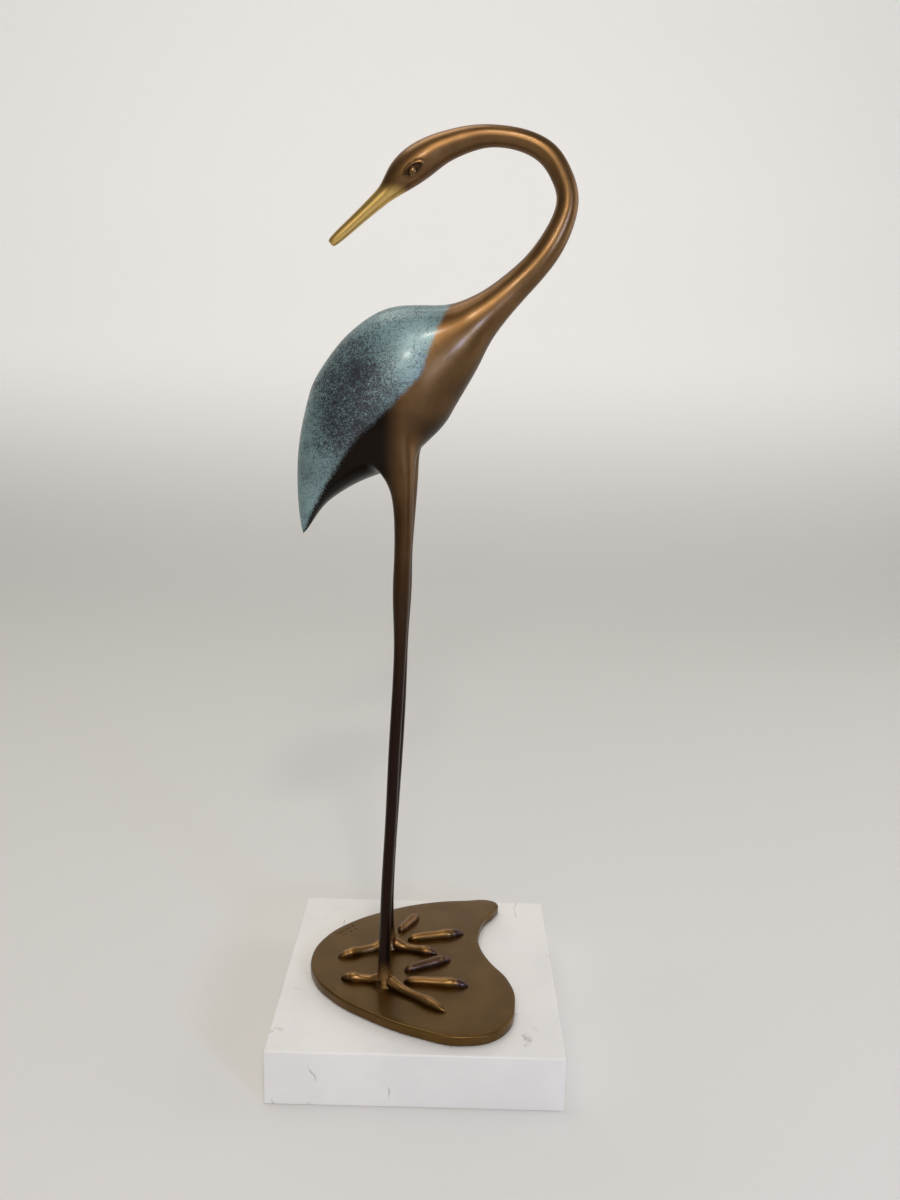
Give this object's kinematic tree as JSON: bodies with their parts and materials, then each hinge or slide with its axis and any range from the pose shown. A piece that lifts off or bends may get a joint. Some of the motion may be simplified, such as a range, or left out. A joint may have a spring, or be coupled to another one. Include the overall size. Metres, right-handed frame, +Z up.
{
  "type": "bronze heron sculpture",
  "caption": "Tall slender bronze heron looking back over its shoulder, standing on a leaf-shaped bronze plate on a square white marble plinth",
  "frame": {"origin": "the middle of the plinth's underside, which is the middle of the bounding box's bottom", "axes": "+Z up; +X the way the bird's breast faces; +Y across the bird, away from the side that the picture shows"},
  "size_m": [0.2, 0.2, 0.6309],
  "materials": {
    "bronze": "satin brown cast bronze with a blue-green patina on the back and a golden bill",
    "marble": "honed white marble with faint grey veins"
  },
  "bodies": {
    "root": {"heron": "bronze", "marble_plinth": "marble"}
  },
  "joints": []
}
